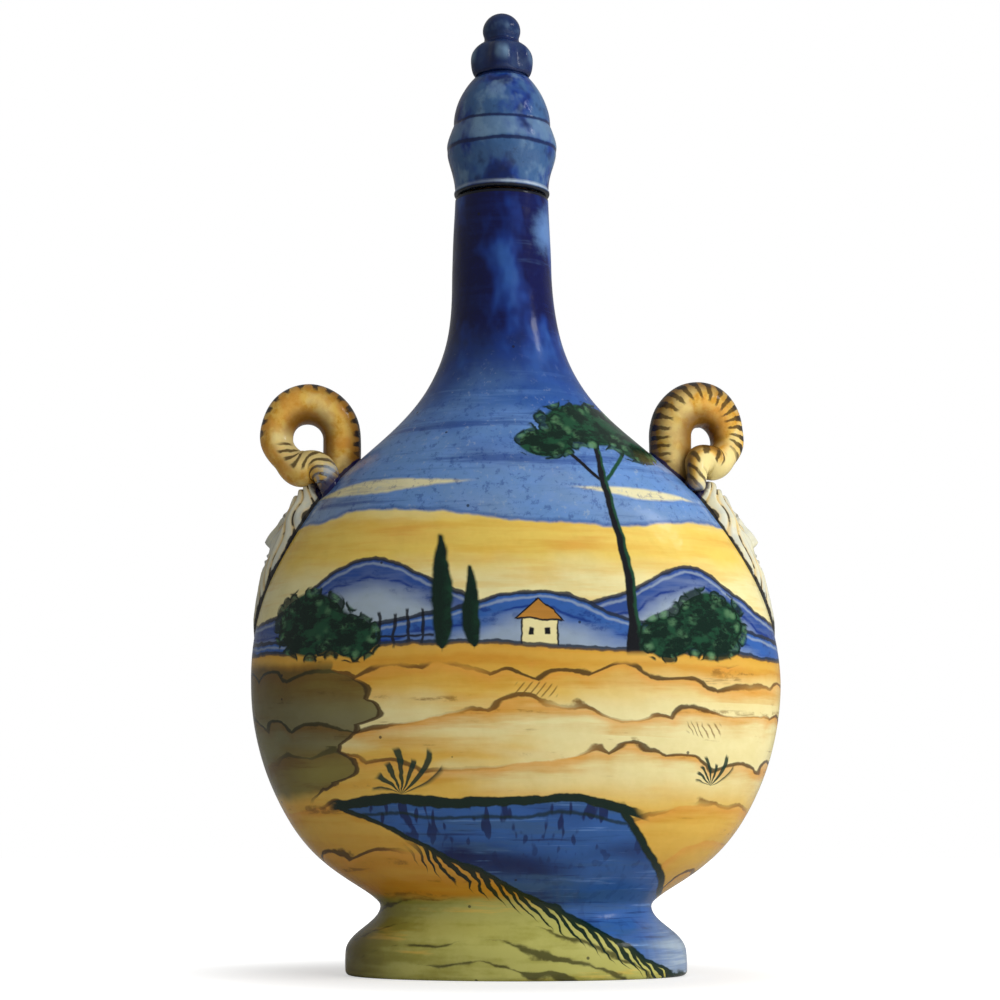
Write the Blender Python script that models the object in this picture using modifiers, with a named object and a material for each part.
# Majolica pilgrim-flask decanter: two pressed body halves, a thrown neck and foot,
# a coiled horn handle and a relief mask at each shoulder, and a stopper that lifts out.
# Metres, +Z up. The origin is the middle of the foot's underside, and the front faces -Y.
from math import cos, exp, hypot, radians, sin, sqrt

import bmesh
import bpy
import numpy as np
from mathutils import Vector
from mathutils.geometry import interpolate_bezier

# Heights, each one counted from the one before it
footHeight = 0.0250
bellyRise = 0.0750
shoulderRise = 0.1433
neckLength = 0.0290

# Half-widths seen from the front, and half-depths seen from the side
footHalfWidth = 0.0584
footHalfDepth = 0.0362
waistHalfWidth = 0.0464
bellyHalfWidth = 0.0918
bellyHalfDepth = 0.0530
neckRadius = 0.0177
rimRadius = 0.0167
neckLean = -0.0049

# Walls, rounded edges and the thin gap that each luted joint keeps
bodyWall = 0.0048
neckWall = 0.0052
footRingWidth = 0.0055
footRound = 0.0018
footBand = 0.0075
lipRound = 0.0010
clayGap = 0.0003
cutOverrun = 0.0040
weldDistance = 0.00001

# Curves of the outline, as shares of the sizes that they follow
shoulderStartAngle = 32.0
shoulderPullShare = 0.506
neckPullShare = 0.398
flankEndAngle = 29.2
flankPullShare = 0.264
waistPullShare = 0.093
waistPullAngle = 51.5
roundStartShare = 0.14
neckJointShare = 0.698
footUpperPullShare = 0.41
footLowerPullShare = 0.46

# Coiled horn handles
leftHoleRadius = 0.0051
rightHoleRadius = 0.0036
leftRootRadius = 0.0067
rightRootRadius = 0.00745
leftLegAngle = 48.0
rightLegAngle = 52.6
leftHoleRise = 0.0168
rightHoleRise = 0.0126
leftCoilYaw = 2.0
rightCoilYaw = 26.0
coilTurns = (0, 90, 180, 225, 262, 280)
leftTurnShares = (1.0, 1.09, 0.87, 0.78, 0.98, 0.88)
rightTurnShares = (1.0, 1.11, 0.82, 0.74, 0.84, 0.78)
coilTipRadius = 0.0028
coilLegBack = 0.0030
coilRun = 0.0125
coilTailForward = 0.0150
coilTailOut = 0.0018
coilTailDrop = 0.0085
coilTailPull = 0.0060
coilRootDepth = 0.0135
coilRunPower = 1.5
coilSplitTurn = 180
coilLapTurn = 14
lapRadiusShare = 0.7
strandSwellShare = 1.03

# Relief masks: their place on the flank's arc, and their own sizes
maskTopAngle = 43.2
maskTipAngle = 7.0
maskHalfWidth = 0.0136
maskRelief = 0.0094
maskSink = 0.0020
maskBacking = 0.0120
maskNose = 0.0024
maskBrow = 0.0013
maskCheek = 0.0010
maskLip = 0.0010
maskNoseWidth = 0.0026
maskEyeSpacing = 0.0050
maskEyeWidth = 0.0030

# Where the mask's features lie, as shares of its length from crown to beard tip
maskCrownShare = 0.045
maskBrowShare = 0.27
maskNoseTipShare = 0.44
maskCheekShare = 0.42
maskLipShare = 0.56
maskBeardShare = 0.36
maskFeatureRunShare = 0.045
maskCrownWidthShare = 0.72
maskBeardTipShare = 0.34
maskTipReliefShare = 0.18
maskRimPower = 2.6

# Stopper: a cap with a ridge, a finial of two beads, and a cork
capHeight = 0.0440
capRadius = 0.0173
capBandHeight = 0.0264
capRidgeRadius = 0.0196
capRidgeHeight = 0.0178
capNeckRadius = 0.0094
domeCrownPullShares = (0.44, 0.20)
domeSidePullShare = 0.43
bandPullShares = (0.25, 0.30)
ridgePullShare = 0.35
skirtPullShares = (0.68, 0.50)
skirtEaseShare = 0.12
finialBeadRadius = 0.0115
finialBeadHeight = 0.0059
finialBeadRise = 0.0095
finialFoldAngle = 54.0
finialTopRadius = 0.0068
finialTopHalfHeight = 0.0066
finialTopLevel = 0.0171
finialTopEndAngle = -16.0
corkClearance = 0.0005
corkReach = 0.0220
corkGrip = 0.0120
corkTipRadius = 0.0098
corkRound = 0.0008

# How finely the round pieces are divided
bodySteps = 48
neckSteps = 32
stopperSteps = 28
corkSteps = 24
outlineRows = 9
cornerPoints = 3
maskRows = 28
maskColumns = 16
coilTurnPoints = 18
strandTurnPoints = 9
coilTailPoints = 8

# Levels worked out from the heights
waistLevel = footHeight + clayGap
bellyLevel = footHeight + bellyRise
neckLevel = bellyLevel + shoulderRise
rimLevel = neckLevel + neckLength
capLevel = rimLevel + clayGap
neckJointLevel = bellyLevel + neckJointShare * shoulderRise

leftCoil = {
    "hole": leftHoleRadius,
    "root": leftRootRadius,
    "shares": leftTurnShares,
    "rise": leftHoleRise,
    "legAngle": leftLegAngle,
    "yaw": leftCoilYaw,
}
rightCoil = {
    "hole": rightHoleRadius,
    "root": rightRootRadius,
    "shares": rightTurnShares,
    "rise": rightHoleRise,
    "legAngle": rightLegAngle,
    "yaw": rightCoilYaw,
}

colours = {
    "body_front_half": (0.86, 0.72, 0.38, 1.0),
    "body_back_half": (0.80, 0.66, 0.34, 1.0),
    "neck": (0.03, 0.06, 0.27, 1.0),
    "foot": (0.36, 0.33, 0.12, 1.0),
    "coil_handle": (0.72, 0.50, 0.16, 1.0),
    "mask": (0.84, 0.80, 0.62, 1.0),
    "stopper_cap": (0.06, 0.12, 0.34, 1.0),
    "stopper_finial": (0.04, 0.09, 0.28, 1.0),
    "stopper_cork": (0.52, 0.36, 0.22, 1.0),
}
glazeRoughness = 0.18
corkRoughness = 0.85
sharpAngle = 38.0


# Scene and object helpers


def clearScene():
    for obj in list(bpy.data.objects):
        bpy.data.objects.remove(obj, do_unlink=True)


def newCollection(name):
    collection = bpy.data.collections.new(name)
    bpy.context.scene.collection.children.link(collection)
    return collection


def makeMaterial(name, colour, roughness):
    material = bpy.data.materials.new(name)
    material.use_nodes = True
    shader = material.node_tree.nodes["Principled BSDF"]
    shader.inputs["Base Color"].default_value = colour
    shader.inputs["Roughness"].default_value = roughness
    shader.inputs["Metallic"].default_value = 0.0
    material.diffuse_color = colour
    return material


def addPart(name, mesh, finish, roughness=glazeRoughness):
    obj = bpy.data.objects.new(name, mesh)
    mesh.materials.clear()
    mesh.materials.append(makeMaterial(name + "_finish", colours[finish], roughness))
    partCollection.objects.link(obj)
    return obj


def addCutter(name, mesh):
    obj = bpy.data.objects.new(name, mesh)
    obj.hide_render = True
    obj.display_type = "WIRE"
    cutterCollection.objects.link(obj)
    return obj


def cut(obj, cutter, operation="DIFFERENCE"):
    boolean = obj.modifiers.new(operation.title(), "BOOLEAN")
    boolean.operation = operation
    boolean.object = cutter
    boolean.solver = "EXACT"


def evaluatedMesh(obj):
    bpy.context.view_layer.update()
    graph = bpy.context.evaluated_depsgraph_get()
    return bpy.data.meshes.new_from_object(obj.evaluated_get(graph))


def smoothShade(mesh):
    mesh.shade_smooth()
    mesh.set_sharp_from_angle(angle=radians(sharpAngle))


# Profiles, as lists of (radius, height) that run down the outer side


def bezier(start, startPull, endPull, end, count):
    controls = [Vector((p[0], p[1], 0)) for p in (start, startPull, endPull, end)]
    return [(p.x, p.y) for p in interpolate_bezier(*controls, count)]


def arc(centreRadius, centreHeight, radius, height, fromAngle, toAngle, count):
    angles = np.radians(np.linspace(fromAngle, toAngle, count))
    return [
        (centreRadius + radius * cos(a), centreHeight + height * sin(a)) for a in angles
    ]


def flaskOutline():
    # Straight neck, shoulder curve, belly arc and flank curve, from the rim to the waist
    up = radians(shoulderStartAngle)
    down = radians(flankEndAngle)
    shoulder = (bellyHalfWidth * cos(up), bellyLevel + bellyHalfWidth * sin(up))
    flank = (bellyHalfWidth * cos(down), bellyLevel - bellyHalfWidth * sin(down))
    shoulderPull = shoulderPullShare * bellyHalfWidth
    flankPull = flankPullShare * bellyHalfWidth
    waistPull = waistPullShare * bellyHalfWidth
    rise = radians(waistPullAngle)
    upper = bezier(
        (neckRadius, neckLevel),
        (neckRadius, neckLevel - neckPullShare * shoulderRise),
        (shoulder[0] - shoulderPull * sin(up), shoulder[1] + shoulderPull * cos(up)),
        shoulder,
        outlineRows + 2,
    )
    middle = arc(
        0,
        bellyLevel,
        bellyHalfWidth,
        bellyHalfWidth,
        shoulderStartAngle,
        -flankEndAngle,
        outlineRows,
    )
    lower = bezier(
        flank,
        (flank[0] - flankPull * sin(down), flank[1] - flankPull * cos(down)),
        (
            waistHalfWidth + waistPull * cos(rise),
            waistLevel + waistPull * sin(rise),
        ),
        (waistHalfWidth, waistLevel),
        outlineRows - 2,
    )
    return [(rimRadius, rimLevel)] + upper + middle[1:] + lower[1:]


def outlineRadius(height):
    return float(np.interp(height, outlineHeights, outlineRadii))


def shoulderLevel(radius):
    # The level above the belly at which the outline has this radius
    above = [p for p in outline if p[1] >= bellyLevel]
    return float(np.interp(radius, [p[0] for p in above], [p[1] for p in above]))


def outlineBetween(top, bottom):
    inside = [p for p in outline if bottom < p[1] < top]
    return [(outlineRadius(top), top)] + inside + [(outlineRadius(bottom), bottom)]


def offsetProfile(points, distance):
    # Moves each point along the profile's outward normal
    moved = []
    for index, point in enumerate(points):
        before = points[max(index - 1, 0)]
        after = points[min(index + 1, len(points) - 1)]
        along = Vector((after[0] - before[0], after[1] - before[1])).normalized()
        moved.append((point[0] - along.y * distance, point[1] + along.x * distance))
    return moved


# The oval plan of the flask: its depth, as a share of its width, and its lean


def smoothStep(value, low, high):
    t = min(max((value - low) / (high - low), 0), 1)
    return t * t * (3 - 2 * t)


def depthShare(height):
    footDepthShare = footHalfDepth / footHalfWidth
    bellyDepthShare = bellyHalfDepth / bellyHalfWidth
    if height < bellyLevel:
        blend = smoothStep(height, waistLevel, bellyLevel)
        return footDepthShare + blend * (bellyDepthShare - footDepthShare)
    roundStart = bellyLevel + roundStartShare * shoulderRise
    blend = smoothStep(height, roundStart, neckLevel)
    return bellyDepthShare + blend * (1 - bellyDepthShare)


def leanAt(height):
    return neckLean * min(max((height - bellyLevel) / shoulderRise, 0), 1)


def makeOval(mesh, skin=0):
    # Narrows a round mesh to the oval plan; a skin outside the clay keeps its thickness
    for vertex in mesh.vertices:
        radius = hypot(vertex.co.x, vertex.co.y)
        share = depthShare(vertex.co.z)
        if radius > skin > 0:
            share = (share * (radius - skin) + skin) / radius
        vertex.co.y *= share
        vertex.co.x += leanAt(vertex.co.z)


def flankPoint(side, height, forward):
    # The point of the flask's surface at this height and this far forward of the middle
    halfWidth = outlineRadius(height)
    halfDepth = halfWidth * depthShare(height)
    across = sqrt(max(1 - (forward / halfDepth) ** 2, 0))
    return Vector((leanAt(height) + side * halfWidth * across, forward, height))


# Turning


def turnedObject(name, points, steps, closed=False):
    # A profile with a Screw modifier; a closed profile makes a ring
    edges = [(i, i + 1) for i in range(len(points) - 1)]
    if closed:
        edges.append((len(points) - 1, 0))
    mesh = bpy.data.meshes.new(name)
    mesh.from_pydata([(r, 0, z) for r, z in points], edges, [])
    obj = bpy.data.objects.new(name, mesh)
    screw = obj.modifiers.new("Turn", "SCREW")
    screw.axis = "Z"
    screw.steps = steps
    screw.render_steps = steps
    screw.use_merge_vertices = True
    screw.merge_threshold = weldDistance
    screw.use_smooth_shade = True
    return obj


def turnedMesh(name, points, steps, closed=False):
    obj = turnedObject(name, points, steps, closed)
    bpy.context.scene.collection.objects.link(obj)
    mesh = evaluatedMesh(obj)
    bpy.data.objects.remove(obj, do_unlink=True)
    mesh.name = name
    return mesh


# Flask


def flaskCutter():
    # The whole flask, grown by the gap: what the handles and masks are cut to fit
    skin = offsetProfile(outline, clayGap)
    points = [(0, skin[0][1])] + skin + [(0, skin[-1][1])]
    mesh = turnedMesh("flask_skin", points, bodySteps)
    makeOval(mesh, clayGap)
    return addCutter("flask_skin", mesh)


def boxCutter(name, low, high):
    mesh = bpy.data.meshes.new(name)
    box = bmesh.new()
    bmesh.ops.create_cube(box, size=1)
    for vertex in box.verts:
        share = vertex.co + Vector((0.5, 0.5, 0.5))
        vertex.co = [low[i] + share[i] * (high[i] - low[i]) for i in range(3)]
    box.to_mesh(mesh)
    box.free()
    return addCutter(name, mesh)


def bodyHalf(name, front):
    # An outer skin, closed at the waist, given its wall and cut at the seam and neck joint
    top = neckJointLevel + cutOverrun
    points = outlineBetween(top, waistLevel) + [(0, waistLevel)]
    mesh = turnedMesh(name, points, bodySteps)
    makeOval(mesh)
    smoothShade(mesh)
    half = addPart(name, mesh, name)
    wall = half.modifiers.new("Wall", "SOLIDIFY")
    wall.thickness = bodyWall
    wall.offset = -1
    wall.use_even_offset = True
    reach = bellyHalfWidth + cutOverrun
    seam = clayGap / 2
    nearY, farY = (-reach, -seam) if front else (seam, reach)
    space = boxCutter(
        name + "_space",
        (-reach, nearY, waistLevel - cutOverrun),
        (reach, farY, neckJointLevel - clayGap / 2),
    )
    cut(half, space, "INTERSECT")
    return half


def neck():
    # Thrown neck: trumpet foot on the shoulder, straight above, with a rounded lip
    bottom = neckJointLevel + clayGap / 2
    outer = outlineBetween(rimLevel, bottom)
    inner = [(r - neckWall, z) for r, z in reversed(outer)]
    lipLevel = rimLevel - lipRound
    outLip = rimRadius - lipRound
    inLip = rimRadius - neckWall + lipRound
    lipOut = arc(outLip, lipLevel, lipRound, lipRound, 90, 0, cornerPoints)
    lipIn = arc(inLip, lipLevel, lipRound, lipRound, 180, 90, cornerPoints)
    points = lipOut + outer[1:] + inner[:-1] + lipIn
    mesh = turnedMesh("neck", points, neckSteps, closed=True)
    makeOval(mesh)
    smoothShade(mesh)
    return addPart("neck", mesh, "neck")


def foot():
    # Flared hollow foot ring with a rounded band and a flat ring to stand on
    drop = footHeight - footBand
    outer = bezier(
        (waistHalfWidth, footHeight),
        (waistHalfWidth, footHeight - footUpperPullShare * drop),
        (footHalfWidth, footBand + footLowerPullShare * drop),
        (footHalfWidth, footBand),
        outlineRows - 1,
    )
    ringOuter = footHalfWidth - footRound
    heelMiddle = ringOuter - footRingWidth - footRound
    toe = arc(ringOuter, footRound, footRound, footRound, 0, -90, cornerPoints)
    heel = arc(heelMiddle, 0, footRound, footRound, 0, 90, cornerPoints)
    inside = [(waistHalfWidth - bodyWall, footHeight)]
    points = outer + toe + heel + inside
    mesh = turnedMesh("foot", points, bodySteps, closed=True)
    makeOval(mesh)
    smoothShade(mesh)
    return addPart("foot", mesh, "foot")


# Coiled horn handles


def coilRadius(coil, turn):
    # The horn is thickest over the top, thinner down its outer side, and swells to cross
    return coil["root"] * float(np.interp(turn, coilTurns, coil["shares"]))


def coilPoint(coil, turn):
    # (outward, forward, height over the hole's centre) on the loop, by degrees round it
    reach = coil["hole"] + coilRadius(coil, turn)
    outward = coil["hole"] + coil["root"] - reach * cos(radians(turn))
    forward = coilLegBack - coilRun * (turn / 360) ** coilRunPower
    return Vector((outward, forward, reach * sin(radians(turn))))


def coilStretch(coil, fromTurn, toTurn, count, swell=1):
    turns = np.linspace(fromTurn, toTurn, count)
    return [(coilPoint(coil, t), swell * coilRadius(coil, t)) for t in turns]


def legRoute(coil):
    # Leg and first half turn; the last ring is small, so that the strand covers it
    root = Vector((0, coilLegBack, -coil["rise"] - coilRootDepth))
    lap = coilSplitTurn + coilLapTurn
    route = [(root, coil["root"])]
    route += coilStretch(coil, 0, coilSplitTurn, coilTurnPoints)
    route.append((coilPoint(coil, lap), lapRadiusShare * coilRadius(coil, lap)))
    return route


def strandRoute(coil):
    # From inside the half turn, under the hole, across the leg's front and into a tail
    lap = coilSplitTurn - coilLapTurn
    last = coilTurns[-1]
    route = [(coilPoint(coil, lap), lapRadiusShare * coilRadius(coil, lap))]
    route += coilStretch(
        coil, coilSplitTurn, last, strandTurnPoints, strandSwellShare
    )
    leave, leaveRadius = route[-1]
    heading = (leave - coilPoint(coil, last - 1)).normalized()
    tip = Vector(
        (coilTailOut, coilLegBack - coilTailForward, -coil["rise"] - coilTailDrop)
    )
    tail = interpolate_bezier(
        leave,
        leave + heading * coilTailPull,
        tip + Vector((0, 0, coilTailPull)),
        tip,
        coilTailPoints,
    )
    for index, point in enumerate(tail[1:], start=1):
        share = index / (coilTailPoints - 1)
        radius = leaveRadius + share * (coilTipRadius - leaveRadius)
        route.append((point, radius))
    return route


def tubeMesh(name, route):
    # A tapered tube as a mesh with welded caps
    curve = bpy.data.curves.new(name, "CURVE")
    curve.dimensions = "3D"
    curve.bevel_depth = leftRootRadius
    curve.bevel_resolution = 3
    curve.use_fill_caps = True
    spline = curve.splines.new("POLY")
    spline.points.add(len(route) - 1)
    for point, (place, radius) in zip(spline.points, route):
        point.co = (*place, 1)
        point.radius = radius / leftRootRadius
    obj = bpy.data.objects.new(name, curve)
    bpy.context.scene.collection.objects.link(obj)
    mesh = evaluatedMesh(obj)
    bpy.data.objects.remove(obj, do_unlink=True)
    work = bmesh.new()
    work.from_mesh(mesh)
    bmesh.ops.remove_doubles(work, verts=work.verts, dist=weldDistance)
    bmesh.ops.recalc_face_normals(work, faces=work.faces)
    work.to_mesh(mesh)
    work.free()
    mesh.name = name
    return mesh


def placedRoute(side, coil, route):
    # Turns the loop's plane by its yaw and sets it on its side of the flask
    turn = radians(coil["yaw"])
    legOut = bellyHalfWidth * cos(radians(coil["legAngle"]))
    holeLevel = shoulderLevel(legOut) + coil["rise"]
    placed = []
    for point, radius in route:
        outward = legOut + point.x * cos(turn) - point.y * sin(turn)
        forward = point.x * sin(turn) + point.y * cos(turn)
        level = holeLevel + point.z
        placed.append((Vector((side * outward, forward, level)), radius))
    return placed


def coilHandle(name, side, coil, skin):
    mesh = tubeMesh(name, placedRoute(side, coil, legRoute(coil)))
    smoothShade(mesh)
    handle = addPart(name, mesh, "coil_handle")
    strandName = name + "_strand"
    strandMesh = tubeMesh(strandName, placedRoute(side, coil, strandRoute(coil)))
    smoothShade(strandMesh)
    cut(handle, addCutter(strandName, strandMesh), "UNION")
    cut(handle, skin)
    return handle


# Relief masks


def bump(value, centre, width):
    return exp(-(((value - centre) / width) ** 2))


def maskWidth(down):
    # Round crown, fullest at the brow, narrowing to the beard's tip
    crown = maskCrownWidthShare
    crown += (1 - maskCrownWidthShare) * smoothStep(down, 0, maskBrowShare)
    beard = 1 - (1 - maskBeardTipShare) * smoothStep(down, maskBeardShare, 1)
    return maskHalfWidth * crown * beard


def maskHeight(down, across):
    # Height over the flank: down runs from 0 at the crown to 1 at the beard's tip
    sideways = abs(across) * maskWidth(down)
    rim = sqrt(max(1 - abs(across) ** maskRimPower, 0))
    rise = sqrt(min(down / maskCrownShare, 1))
    fall = 1 - (1 - maskTipReliefShare) * smoothStep(down, maskCrownShare, 1)
    run = maskFeatureRunShare
    noseLine = smoothStep(down, maskBrowShare - run, maskNoseTipShare)
    noseLine *= 1 - smoothStep(down, maskNoseTipShare, maskNoseTipShare + run)
    nose = maskNose * noseLine * bump(sideways, 0, maskNoseWidth)
    brow = maskBrow * bump(down, maskBrowShare, run)
    brow *= bump(sideways, maskEyeSpacing, maskEyeWidth)
    cheek = maskCheek * bump(down, maskCheekShare, run)
    cheek *= bump(sideways, maskEyeSpacing, maskEyeWidth)
    lip = maskLip * bump(down, maskLipShare, run) * bump(sideways, 0, maskEyeSpacing)
    return rim * (maskRelief * rise * fall + nose + brow + cheek + lip) - maskSink


def maskPoint(side, down, across):
    angle = radians(maskTopAngle + down * (maskTipAngle - maskTopAngle))
    forward = across * maskWidth(down)
    level = bellyLevel + bellyHalfWidth * sin(angle)
    outward = Vector((side * cos(angle), 0, sin(angle)))
    return flankPoint(side, level, forward) + outward * maskHeight(down, across)


def reliefMask(name, side, skin):
    # A grid laid on the flank and raised, then thickened inwards and cut to the flask
    mesh = bpy.data.meshes.new(name)
    work = bmesh.new()
    bmesh.ops.create_grid(
        work, x_segments=maskColumns, y_segments=maskRows, size=1
    )
    for vertex in work.verts:
        down = (1 - vertex.co.y) / 2
        vertex.co = maskPoint(side, down, vertex.co.x)
    backing = bmesh.ops.extrude_face_region(work, geom=list(work.faces))
    moved = [v for v in backing["geom"] if isinstance(v, bmesh.types.BMVert)]
    middle = radians((maskTopAngle + maskTipAngle) / 2)
    inward = Vector((-side * cos(middle), 0, -sin(middle))) * maskBacking
    bmesh.ops.translate(work, verts=moved, vec=inward)
    bmesh.ops.recalc_face_normals(work, faces=work.faces)
    work.to_mesh(mesh)
    work.free()
    smoothShade(mesh)
    mask = addPart(name, mesh, "mask")
    cut(mask, skin)
    return mask


# Stopper


def stopperCap():
    # Skirt on the neck's rim, banded ridge and dome, with the cork's socket below
    socketRadius = rimRadius - neckWall - corkClearance + clayGap
    domeRise = capHeight - capBandHeight
    domeSpread = capRadius - capNeckRadius
    dome = bezier(
        (capNeckRadius, capHeight),
        (
            capNeckRadius + domeCrownPullShares[0] * domeSpread,
            capHeight - domeCrownPullShares[1] * domeRise,
        ),
        (capRadius, capBandHeight + domeSidePullShare * domeRise),
        (capRadius, capBandHeight),
        outlineRows - 2,
    )
    bandDrop = capBandHeight - capRidgeHeight
    bandSpread = capRidgeRadius - capRadius
    band = bezier(
        (capRadius, capBandHeight),
        (
            capRadius + bandPullShares[0] * bandSpread,
            capBandHeight - bandPullShares[1] * bandDrop,
        ),
        (capRidgeRadius, capRidgeHeight + ridgePullShare * bandDrop),
        (capRidgeRadius, capRidgeHeight),
        outlineRows - 3,
    )
    skirt = bezier(
        (capRidgeRadius, capRidgeHeight),
        (capRidgeRadius, skirtPullShares[0] * capRidgeHeight),
        (
            rimRadius + skirtEaseShare * (capRidgeRadius - rimRadius),
            skirtPullShares[1] * capRidgeHeight,
        ),
        (rimRadius, lipRound),
        outlineRows - 2,
    )
    hem = [(rimRadius - lipRound, 0), (socketRadius, 0)]
    socket = [(socketRadius, corkGrip), (0, corkGrip)]
    points = [(0, capHeight)] + dome + band[1:] + skirt[1:] + hem + socket
    cap = turnedObject("stopper_cap", points, stopperSteps)
    cap.location = (neckLean, 0, capLevel)
    return cap


def stopperFinial():
    # A wide bead with a round knob pressed down into it
    top = arc(
        0,
        finialTopLevel,
        finialTopRadius,
        finialTopHalfHeight,
        90,
        finialTopEndAngle,
        outlineRows - 1,
    )
    upper = arc(
        0,
        finialBeadHeight,
        finialBeadRadius,
        finialBeadRise,
        finialFoldAngle,
        0,
        outlineRows - 4,
    )
    lower = arc(
        capNeckRadius,
        finialBeadHeight,
        finialBeadRadius - capNeckRadius,
        finialBeadHeight,
        0,
        -90,
        outlineRows - 4,
    )
    points = top + upper + lower[1:] + [(0, 0)]
    finial = turnedObject("stopper_finial", points, stopperSteps)
    finial.location = (neckLean, 0, capLevel + capHeight + clayGap)
    return finial


def stopperCork():
    # Tapered cork, held in the cap's socket and reaching down the neck
    topRadius = rimRadius - neckWall - corkClearance
    top = corkGrip - clayGap
    points = [
        (0, top),
        (topRadius - corkRound, top),
        (topRadius, top - corkRound),
        (topRadius, 0),
        (corkTipRadius, corkRound - corkReach),
        (corkTipRadius - corkRound, -corkReach),
        (0, -corkReach),
    ]
    cork = turnedObject("stopper_cork", points, corkSteps)
    cork.location = (neckLean, 0, capLevel)
    return cork


def finishStopper():
    for make, roughness in (
        (stopperCap, glazeRoughness),
        (stopperFinial, glazeRoughness),
        (stopperCork, corkRoughness),
    ):
        obj = make()
        partCollection.objects.link(obj)
        finish = makeMaterial(obj.name + "_finish", colours[obj.name], roughness)
        obj.data.materials.append(finish)


clearScene()
partCollection = newCollection("majolica_decanter")
cutterCollection = newCollection("cutters")
cutterCollection.hide_render = True

outline = flaskOutline()
outlineHeights = [p[1] for p in reversed(outline)]
outlineRadii = [p[0] for p in reversed(outline)]

flaskSkin = flaskCutter()
bodyHalf("body_front_half", True)
bodyHalf("body_back_half", False)
neck()
foot()
coilHandle("left_coil_handle", -1, leftCoil, flaskSkin)
coilHandle("right_coil_handle", 1, rightCoil, flaskSkin)
reliefMask("left_mask", -1, flaskSkin)
reliefMask("right_mask", 1, flaskSkin)
finishStopper()
